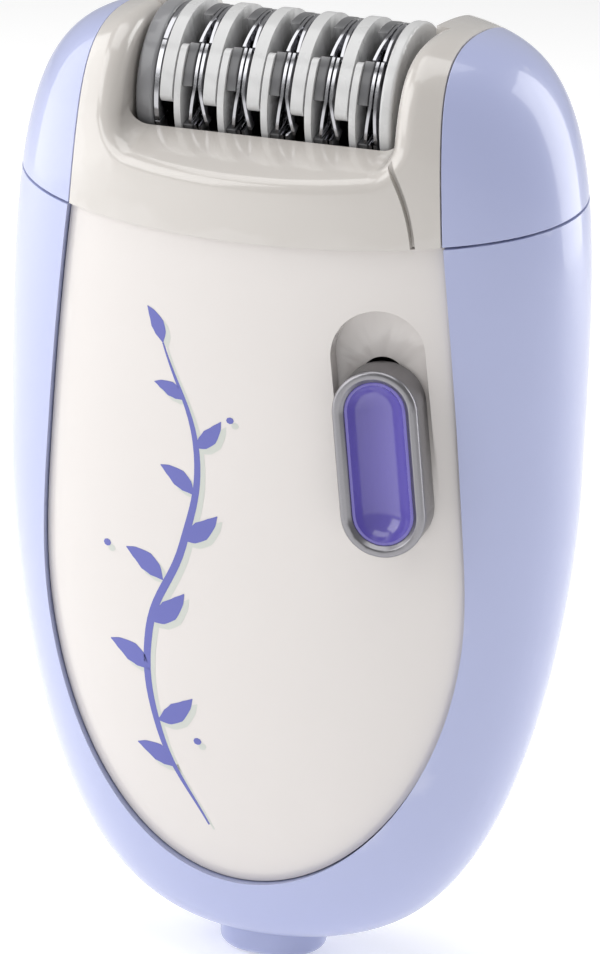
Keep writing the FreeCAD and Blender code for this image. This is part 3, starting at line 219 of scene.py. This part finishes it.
def brushed_group():
    """Brushed metal: fine lines along one axis, in height and gloss."""
    group = bpy.data.node_groups.get("brushed_metal")
    if group:
        return group
    group = bpy.data.node_groups.new("brushed_metal", "ShaderNodeTree")
    group_sockets(group,
                  [("Color", "NodeSocketColor", (0.7, 0.7, 0.7, 1)),
                   ("Roughness", "NodeSocketFloat", 0.25),
                   ("Roughness Range", "NodeSocketFloat", 0.15),
                   ("Stretch", "NodeSocketVector", (3000.0, 3000.0, 250.0))],
                  [("Color", "NodeSocketColor"), ("Roughness", "NodeSocketFloat"),
                   ("Height", "NodeSocketFloat")])
    nodes, links = group.nodes, group.links
    enter, leave = add(nodes, "NodeGroupInput"), add(nodes, "NodeGroupOutput")
    coords = add(nodes, "ShaderNodeTexCoord")
    stretched = add(nodes, "ShaderNodeVectorMath", operation="MULTIPLY")
    links.new(coords.outputs["Object"], stretched.inputs[0])
    links.new(enter.outputs["Stretch"], stretched.inputs[1])
    lines = add(nodes, "ShaderNodeTexNoise", inputs={"Scale": 1.0, "Detail": 3.0, "Roughness": 0.7})
    links.new(stretched.outputs["Vector"], lines.inputs["Vector"])
    off = add(nodes, "ShaderNodeMath", operation="SUBTRACT", inputs={1: 0.5})
    links.new(lines.outputs["Fac"], off.inputs[0])
    rough = add(nodes, "ShaderNodeMath", operation="MULTIPLY_ADD")
    links.new(off.outputs[0], rough.inputs[0])
    links.new(enter.outputs["Roughness Range"], rough.inputs[1])
    links.new(enter.outputs["Roughness"], rough.inputs[2])
    tone = add(nodes, "ShaderNodeMapRange", inputs={"To Min": 0.9, "To Max": 1.06})
    links.new(lines.outputs["Fac"], tone.inputs["Value"])
    shaded = add(nodes, "ShaderNodeVectorMath", operation="SCALE")
    links.new(enter.outputs["Color"], shaded.inputs[0])
    links.new(tone.outputs["Result"], shaded.inputs["Scale"])
    links.new(shaded.outputs["Vector"], leave.inputs["Color"])
    links.new(rough.outputs[0], leave.inputs["Roughness"])
    links.new(lines.outputs["Fac"], leave.inputs["Height"])
    return group


def new_material(name, group, group_inputs, bump, shader_inputs):
    """Material with one group in front of a Principled shader and a bump."""
    material = bpy.data.materials.get("look_" + name)
    if material:
        return material
    material = bpy.data.materials.new("look_" + name)
    material.use_nodes = True
    nodes, links = material.node_tree.nodes, material.node_tree.links
    shader = nodes["Principled BSDF"]
    for key, value in shader_inputs.items():
        shader.inputs[key].default_value = value
    source = add(nodes, "ShaderNodeGroup", node_tree=group, inputs=group_inputs)
    links.new(source.outputs["Color"], shader.inputs["Base Color"])
    links.new(source.outputs["Roughness"], shader.inputs["Roughness"])
    if bump > 0:
        relief = add(nodes, "ShaderNodeBump", inputs={"Strength": 1.0, "Distance": bump})
        links.new(source.outputs["Height"], relief.inputs["Height"])
        links.new(relief.outputs["Normal"], shader.inputs["Normal"])
    material.diffuse_color = tuple(group_inputs["Color"])
    return material


# the edge setting is how far sharp edges are mixed towards white, a painted highlight
def plastic(name, colour, roughness=0.3, cloud=0.04, grain=2600.0, bump=0.003 * MM, coat=0.0, edge_highlight=0.1,
            specular=0.5, spread=0.06):
    return new_material(name, skin_group(),
                        {"Color": (*colour, 1), "Cloud": cloud, "Roughness": roughness,
                         "Roughness Range": spread, "Grain Scale": grain, "Edge Highlight": edge_highlight},
                        bump, {"Coat Weight": coat, "Coat Roughness": 0.06, "Specular IOR Level": specular})


def metal(name, colour, roughness=0.2, spread=0.15, stretch=(3000.0, 3000.0, 250.0), bump=0.002 * MM):
    return new_material(name, brushed_group(),
                        {"Color": (*colour, 1), "Roughness": roughness, "Roughness Range": spread,
                         "Stretch": stretch},
                        bump, {"Metallic": 1.0})


def lavender():
    return plastic("lavender", settings()[0].lavender, 0.30, 0.05, coat=0.6)


def pearl():
    return plastic("pearl", settings()[0].pearl, 0.22, 0.04, 5200.0, 0.0012 * MM, coat=0.6, edge_highlight=0.05)


def head_white():
    return plastic("head_white", settings()[0].head_white, 0.22, 0.04, 5200.0, 0.0012 * MM, coat=0.8,
                   edge_highlight=0.05)


def satin_silver():
    return metal("satin_silver", settings()[0].silver, 0.30, 0.10, (5200.0, 5200.0, 5200.0), 0.002 * MM)


def purple():
    return plastic("purple", settings()[0].purple, 0.22, 0.10, 4200.0, 0.0015 * MM, coat=0.7, edge_highlight=0.0)


def blade_steel():
    return metal("blade_steel", (0.42, 0.42, 0.44), 0.14, 0.14, (400.0, 9000.0, 1500.0), 0.001 * MM)


def arc_plastic():
    return plastic("arc_plastic", (0.56, 0.56, 0.56), 0.28, 0.06, edge_highlight=0.15, coat=0.4)


# the combs' own grey, darkened further as painted shade of the drum's inside
def comb_grey():
    return plastic("comb_grey", (0.075, 0.075, 0.08), 0.30, 0.10, edge_highlight=0.25, coat=0.3)


def end_grey():
    return plastic("end_grey", (0.22, 0.22, 0.23), 0.30, 0.08, edge_highlight=0.15, coat=0.4)


# painted shade: the hub is made near-black to stand in for the shade inside the drum between the arcs
def hub_painted_shade():
    return plastic("hub_painted_shade", (0.003, 0.003, 0.0035), 0.5, 0.2, edge_highlight=0.0, specular=0.2)


def gear_plastic():
    return plastic("gear_plastic", (0.72, 0.70, 0.62), 0.4, 0.08)


def grey_plastic():
    return plastic("grey_plastic", (0.12, 0.12, 0.13), 0.45, 0.1)


def dark_plastic():
    return plastic("dark_plastic", (0.015, 0.015, 0.017), 0.42, 0.15)


def white_plastic():
    return plastic("white_plastic", (0.74, 0.74, 0.71), 0.4, 0.06)


def board_green():
    return plastic("board_green", (0.01, 0.10, 0.035), 0.35, 0.35, 900.0)


def lead_red():
    return plastic("lead_red", (0.40, 0.01, 0.01), 0.42, 0.08)


def magnet_grey():
    return plastic("magnet_grey", (0.04, 0.04, 0.045), 0.65, 0.3)


def plain_steel():
    return metal("plain_steel", (0.56, 0.56, 0.57), 0.28, 0.2)


def can_steel():
    return metal("can_steel", (0.50, 0.50, 0.51), 0.3, 0.2, (250.0, 3000.0, 3000.0))


def brass():
    return metal("brass", (0.70, 0.50, 0.22), 0.24, 0.2)


# ---------------------------------------------------------------- mesh helpers
def only(obj):
    if bpy.context.object and bpy.context.object.mode != "OBJECT":
        bpy.ops.object.mode_set(mode="OBJECT")
    bpy.ops.object.select_all(action="DESELECT")
    obj.select_set(True)
    bpy.context.view_layer.objects.active = obj


def edit_all(obj):
    only(obj)
    bpy.ops.object.mode_set(mode="EDIT")
    bpy.ops.mesh.select_all(action="SELECT")


def leave_edit():
    bpy.ops.object.mode_set(mode="OBJECT")


def keep_faces(obj, wanted):
    """Deletes the faces that the test doesn't want."""
    only(obj)
    bpy.ops.object.mode_set(mode="EDIT")
    bpy.ops.mesh.select_mode(type="FACE")
    bpy.ops.mesh.select_all(action="DESELECT")
    bpy.ops.object.mode_set(mode="OBJECT")
    for face in obj.data.polygons:
        face.select = not wanted(face)
    bpy.ops.object.mode_set(mode="EDIT")
    bpy.ops.mesh.delete(type="FACE")
    leave_edit()


def dress(obj, material, body):
    """Gives a finished piece its material and the body it rides on."""
    obj.data.materials.clear()
    obj.data.materials.append(material)
    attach(obj, body)
    return obj


def apply_all(obj):
    only(obj)
    for modifier in list(obj.modifiers):
        bpy.ops.object.modifier_apply(modifier=modifier.name)


def rounded(node, material, width, segments=3, angle=32.0, smooth=38.0):
    """Copy of a CAD node with its doubles merged, its edges rounded and its faces smooth."""
    source = NODES[node]
    piece = bpy.data.objects.new(node + "_finished", source.data.copy())
    bpy.context.scene.collection.objects.link(piece)
    edit_all(piece)
    bpy.ops.mesh.remove_doubles(threshold=DOUBLES)
    bpy.ops.mesh.customdata_custom_splitnormals_clear()
    leave_edit()
    bevel = piece.modifiers.new("round", "BEVEL")
    bevel.width = width
    bevel.segments = segments
    bevel.limit_method = "ANGLE"
    bevel.angle_limit = math.radians(angle)
    bevel.harden_normals = True
    bevel.miter_outer = "MITER_ARC"
    apply_all(piece)
    bpy.ops.object.shade_smooth_by_angle(angle=math.radians(smooth))
    dress(piece, material, BODY_OF[node])
    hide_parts(node)
    return piece


def paint(node, material):
    """Better material on a CAD node that stays as it is."""
    data = NODES[node].data
    data.materials.clear()
    data.materials.append(material)


# ---------------------------------------------------------------- the vine on the panel
# Every stroke is a list of (across, height, half width) in millimetres; leaves are short wide strokes.
STEMS = (
    ((-3.0, 17.0, 0.12), (-8.5, 27.0, 0.4), (-9.5, 38.0, 0.52), (-5.5, 48.0, 0.5), (-4.0, 58.0, 0.38),
     (-8.0, 69.0, 0.1)),
)
# Base, direction in degrees from +X, length and widest half width.
LEAVES = (
    (-6.6, 23.0, 150, 5.0, 1.2), (-8.6, 28.0, 30, 5.2, 1.25), (-9.5, 33.5, 145, 5.4, 1.3),
    (-9.3, 39.0, 35, 5.4, 1.3), (-7.8, 43.8, 140, 5.2, 1.25), (-5.6, 48.6, 30, 5.0, 1.2),
    (-4.3, 53.6, 138, 4.6, 1.1), (-4.2, 58.6, 40, 4.2, 1.0), (-5.4, 63.4, 150, 3.8, 0.9),
    (-8.0, 69.0, 110, 4.0, 0.9),
)
BERRIES = ((-4.0, 26.5, 0.45), (-14.6, 46.5, 0.45), (-0.4, 62.0, 0.4))


def leaf_stroke(x, z, direction, length, half):
    """A leaf as a stroke that bends a little and swells in the middle."""
    points = []
    for share, swell in LEAF_SWELL:
        turn = math.radians(direction + LEAF_BEND * (share - 0.5))
        reach = length * share
        points.append((x + reach * math.cos(turn), z + reach * math.sin(turn), half * swell))
    return points


def berry_stroke(x, z, radius):
    """A berry as a short round stroke."""
    return [(x + radius * share, z, radius * swell) for share, swell in BERRY_SWELL]


def print_layer(name, material, shift, lift):
    """One layer of the vine, used for the ink and for its painted shadow: strokes laid on the panel as a
    thin skin.
    """
    bpy.ops.object.select_all(action="DESELECT")
    bpy.ops.curve.primitive_bezier_curve_add(radius=1.0, location=(0, 0, 0))
    layer = bpy.context.object
    layer.name = name
    data = layer.data
    data.splines.clear()
    data.dimensions = "3D"
    data.resolution_u = 10
    data.bevel_depth = 1.0
    data.bevel_resolution = 2
    widen = settings()[1].print_width / (WIDEST_STROKE * MM)
    strokes = [list(stem) for stem in STEMS] + [leaf_stroke(*leaf) for leaf in LEAVES]
    strokes += [berry_stroke(*berry) for berry in BERRIES]
    for stroke in strokes:
        spline = data.splines.new("BEZIER")
        spline.bezier_points.add(len(stroke) - 1)
        for point, (x, z, half) in zip(spline.bezier_points, stroke):
            point.co = ((x + shift[0]) * MM, PRINT_FRONT, (z + shift[1]) * MM)
            point.radius = half * widen * MM
            point.handle_left_type = point.handle_right_type = "AUTO"
    only(layer)
    bpy.ops.object.convert(target="MESH")
    layer = bpy.context.object
    keep_faces(layer, lambda face: face.normal.y < -0.05)
    wrap = layer.modifiers.new("lay", "SHRINKWRAP")
    wrap.target = bpy.data.objects["front_panel_finished"]
    wrap.wrap_method = "PROJECT"
    wrap.wrap_mode = "ABOVE_SURFACE"
    wrap.use_project_y = True
    wrap.use_positive_direction = True
    wrap.use_negative_direction = False
    wrap.offset = lift
    apply_all(layer)
    skin = layer.modifiers.new("skin", "SOLIDIFY")
    skin.thickness = lift * 0.5
    skin.offset = -1.0
    apply_all(layer)
    bpy.ops.object.shade_smooth_by_angle(angle=math.radians(40))
    return dress(layer, material, "handle")


# ---------------------------------------------------------------- operators
class EPILATOR_OT_covers(bpy.types.Operator):
    """Shells, panel, head covers and collar with rounded edges"""
    bl_idname = "epilator.covers"
    bl_label = "Covers"

    def execute(self, context):
        sizes = settings()[1]
        for node in ("front_shell", "rear_shell", "side_cap_right", "side_cap_left", "socket_collar",
                     "release_button"):
            rounded(node, lavender(), sizes.cover_round)
        rounded("front_panel", pearl(), sizes.small_round)
        rounded("head_frame", head_white(), sizes.cover_round * 0.8)
        return {"FINISHED"}


class EPILATOR_OT_slide(bpy.types.Operator):
    """Thumb slide: ring, hollowed pad and stem"""
    bl_idname = "epilator.slide"
    bl_label = "Thumb slide"

    def execute(self, context):
        sizes = settings()[1]
        rounded("slider_bezel", satin_silver(), sizes.small_round)
        rounded("slider_inlay", purple(), sizes.small_round)
        paint("slider_stem", grey_plastic())
        return {"FINISHED"}


class EPILATOR_OT_print(bpy.types.Operator):
    """Vine printed on the panel, with a pale copy under it as painted shadow"""
    bl_idname = "epilator.print"
    bl_label = "Print"

    def execute(self, context):
        colours, sizes, _ = settings()
        # the pale layer is a painted shadow of the vine, shifted to the right and down
        painted_shadow = plastic("print_painted_shadow", colours.ink_shadow, 0.3, 0.04, 5200.0, 0.0, coat=0.3, edge_highlight=0.0)
        ink = plastic("print_ink", colours.ink, 0.3, 0.12, 5200.0, 0.0, coat=0.3, edge_highlight=0.0)
        print_layer("vine_shadow", painted_shadow, SHADOW_SHIFT, sizes.print_lift * 0.5)
        print_layer("vine", ink, (0.0, 0.0), sizes.print_lift)
        return {"FINISHED"}


class EPILATOR_OT_drum(bpy.types.Operator):
    """Turning drum: discs, arcs, combs and blades"""
    bl_idname = "epilator.drum"
    bl_label = "Drum"

    def execute(self, context):
        small = settings()[1].small_round
        rounded("left_disc", end_grey(), small)
        rounded("left_inner_disc", blade_steel(), small)
        rounded("right_disc", arc_plastic(), small)
        rounded("upper_arcs", arc_plastic(), small * 1.5)
        rounded("lower_arcs", arc_plastic(), small * 1.2)
        rounded("hair_combs", comb_grey(), small)
        rounded("blades_left", blade_steel(), small * 0.5, 2)
        rounded("blades_right", blade_steel(), small * 0.5, 2)
        # near-black hub as painted shade of the drum's inside
        paint("drum_hub", hub_painted_shade())
        paint("drum_shaft", plain_steel())
        paint("drum_gear", gear_plastic())
        return {"FINISHED"}


class EPILATOR_OT_mechanism(bpy.types.Operator):
    """Motor, gears, board and fasteners inside"""
    bl_idname = "epilator.mechanism"
    bl_label = "Mechanism"

    def execute(self, context):
        looks = {
            plain_steel: ("shell_screws", "board_screws", "upper_idler_pin", "lower_idler_pin",
                          "rotor_shaft", "detent_spring", "release_spring"),
            can_steel: ("motor_can", "rotor_core"),
            brass: ("inlet_pins", "motor_terminals", "motor_pinion", "bush_right", "bush_left"),
            white_plastic: ("top_deck", "head_base", "latch_hooks", "motor_end_cap"),
            grey_plastic: ("chassis", "gear_bracket", "release_guide"),
            dark_plastic: ("inlet_block", "board_capacitor", "board_diodes", "switch_unit"),
            gear_plastic: ("lower_idler", "upper_idler"),
            lead_red: ("inlet_leads", "motor_leads"),
            magnet_grey: ("motor_magnets",),
            board_green: ("circuit_board",),
        }
        for look, nodes in looks.items():
            for node in nodes:
                paint(node, look())
        return {"FINISHED"}


def area_light(name, place, size, power):
    lamp = bpy.data.lights.new(name, "AREA")
    lamp.shape = "RECTANGLE"
    lamp.size, lamp.size_y = size
    lamp.energy = power
    obj = bpy.data.objects.new(name, lamp)
    bpy.context.scene.collection.objects.link(obj)
    obj.location = place
    obj.rotation_euler = (Vector(LIGHT_AIM) - Vector(place)).to_track_quat("-Z", "Y").to_euler()
    return obj


class EPILATOR_OT_stage(bpy.types.Operator):
    """Pale floor, soft lights and the camera"""
    bl_idname = "epilator.stage"
    bl_label = "Stage"

    def execute(self, context):
        self.floor()
        self.lights()
        self.camera()
        context.scene.view_settings.view_transform = "Standard"
        return {"FINISHED"}

    def floor(self):
        bpy.ops.object.select_all(action="DESELECT")
        bpy.ops.mesh.primitive_plane_add(size=FLOOR_SIZE, location=(0, 0, -FLOOR_DROP))
        floor = bpy.context.object
        floor.name = "floor"
        paper = plastic("floor", (0.95, 0.95, 0.95), 0.7, 0.01, 120.0, 0.0, edge_highlight=0.0, specular=0.2)
        shader = paper.node_tree.nodes["Principled BSDF"]
        shader.inputs["Emission Color"].default_value = (1, 1, 1, 1)
        shader.inputs["Emission Strength"].default_value = FLOOR_GLOW
        floor.data.materials.append(paper)

    def lights(self):
        world = bpy.context.scene.world or bpy.data.worlds.new("world")
        bpy.context.scene.world = world
        world.use_nodes = True
        back = world.node_tree.nodes["Background"]
        back.inputs["Color"].default_value = (1.0, 1.0, 1.0, 1)
        back.inputs["Strength"].default_value = SKY_STRENGTH
        for light in LIGHTS:
            area_light(*light)

    def camera(self):
        stage = settings()[2]
        turn = stage.azimuth
        place = Vector((stage.distance * math.sin(turn), -stage.distance * math.cos(turn), stage.height))
        aim = Vector((stage.aim_side * math.cos(turn), stage.aim_side * math.sin(turn), stage.aim_height))
        ahead = (aim - place).normalized()
        right = ahead.cross(Vector((0, 0, 1))).normalized()
        up = right.cross(ahead)
        side = right * math.cos(stage.roll) + up * math.sin(stage.roll)
        above = up * math.cos(stage.roll) - right * math.sin(stage.roll)
        data = bpy.data.cameras.new("camera")
        data.lens = stage.lens
        data.sensor_width = 36.0
        data.clip_start = 0.01
        data.clip_end = 50.0
        camera = bpy.data.objects.new("camera", data)
        bpy.context.scene.collection.objects.link(camera)
        turned = Matrix((side, above, -ahead)).transposed().to_4x4()
        camera.matrix_world = Matrix.Translation(place) @ turned
        bpy.context.scene.camera = camera


# ---------------------------------------------------------------- panel and registration
OPERATORS = (EPILATOR_OT_covers, EPILATOR_OT_print, EPILATOR_OT_slide, EPILATOR_OT_drum,
             EPILATOR_OT_mechanism, EPILATOR_OT_stage)


class EPILATOR_PT_panel(bpy.types.Panel):
    """Shows the epilator's settings and the buttons of its build steps"""
    bl_idname = "EPILATOR_PT_panel"
    bl_label = "Epilator"
    bl_space_type = "VIEW_3D"
    bl_region_type = "UI"
    bl_category = "Epilator"

    def draw(self, context):
        for group in settings():
            for name in group.bl_rna.properties.keys():
                if name not in ("rna_type", "name"):
                    self.layout.prop(group, name)
        for operator in OPERATORS:
            self.layout.operator(operator.bl_idname)


CLASSES = (EpilatorColours, EpilatorSizes, EpilatorStage) + OPERATORS + (EPILATOR_PT_panel,)


def register():
    for cls in CLASSES:
        bpy.utils.register_class(cls)
    bpy.types.Scene.epilator_colours = bpy.props.PointerProperty(type=EpilatorColours)
    bpy.types.Scene.epilator_sizes = bpy.props.PointerProperty(type=EpilatorSizes)
    bpy.types.Scene.epilator_stage = bpy.props.PointerProperty(type=EpilatorStage)


def unregister():
    del bpy.types.Scene.epilator_stage
    del bpy.types.Scene.epilator_sizes
    del bpy.types.Scene.epilator_colours
    for cls in reversed(CLASSES):
        bpy.utils.unregister_class(cls)


def main():
    register()
    bpy.ops.epilator.covers()
    bpy.ops.epilator.print()
    bpy.ops.epilator.slide()
    bpy.ops.epilator.drum()
    bpy.ops.epilator.mechanism()
    bpy.ops.epilator.stage()


if __name__ == "__main__":
    main()
